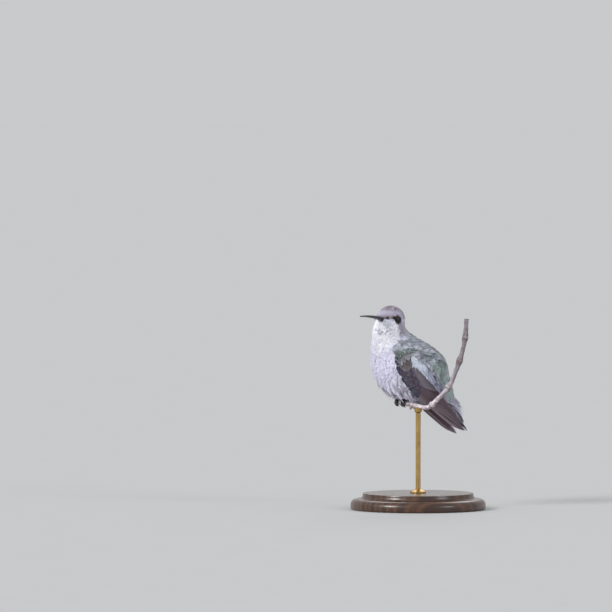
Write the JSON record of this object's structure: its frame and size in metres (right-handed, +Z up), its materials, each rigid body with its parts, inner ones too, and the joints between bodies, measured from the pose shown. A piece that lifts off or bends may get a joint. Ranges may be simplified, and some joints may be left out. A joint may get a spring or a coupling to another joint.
{
  "type": "hummingbird",
  "caption": "Still, life-size model of a perched female Costa's hummingbird gripping a cut twig, held up by a plain rod on a round base.",
  "frame": {"origin": "centre of the stand's underside, on the floor", "axes": "+Z up; the bird's body points along -X and its left side is at -Y; its head is turned to its left"},
  "size_m": [0.0565, 0.054, 0.0815],
  "materials": {
    "crown_feathers": "soft grey-brown plumage",
    "throat_feathers": "soft cool white plumage",
    "body_feathers": "soft white and grey-green plumage",
    "flight_feathers": "smooth dusky vanes",
    "coverts": "grey-green scaly plumage",
    "tail_feathers": "smooth green, black and white vanes",
    "bill": "satin black horn",
    "eye": "wet dark brown",
    "foot": "scaly black skin",
    "claw": "satin black horn",
    "bark": "weathered pale bark",
    "base_wood": "dark stained, satin varnish",
    "brass": "brushed"
  },
  "bodies": {
    "root": {"bill_lower": "bill", "bill_upper": "bill", "claw_left_front_1": "claw", "claw_left_front_2": "claw", "claw_left_front_3": "claw", "claw_left_hind": "claw", "claw_right_front_1": "claw", "claw_right_front_2": "claw", "claw_right_front_3": "claw", "claw_right_hind": "claw", "eye_left": "eye", "eye_right": "eye", "foot_left": "foot", "foot_right": "foot", "head": "crown_feathers", "leg_left": "foot", "leg_right": "foot", "neck": "throat_feathers", "perch_twig": "bark", "stand_base": "base_wood", "stand_collar": "brass", "stand_rod": "brass", "tail_pair_1": "tail_feathers", "tail_pair_2": "tail_feathers", "tail_pair_3": "tail_feathers", "tail_pair_4": "tail_feathers", "tail_pair_5": "tail_feathers", "trunk": "body_feathers", "wing_left_arm": "coverts", "wing_left_inner_primaries": "flight_feathers", "wing_left_middle_primaries": "flight_feathers", "wing_left_outer_primaries": "flight_feathers", "wing_left_secondaries": "flight_feathers", "wing_right_arm": "coverts", "wing_right_inner_primaries": "flight_feathers", "wing_right_middle_primaries": "flight_feathers", "wing_right_outer_primaries": "flight_feathers", "wing_right_secondaries": "flight_feathers"}
  },
  "joints": []
}
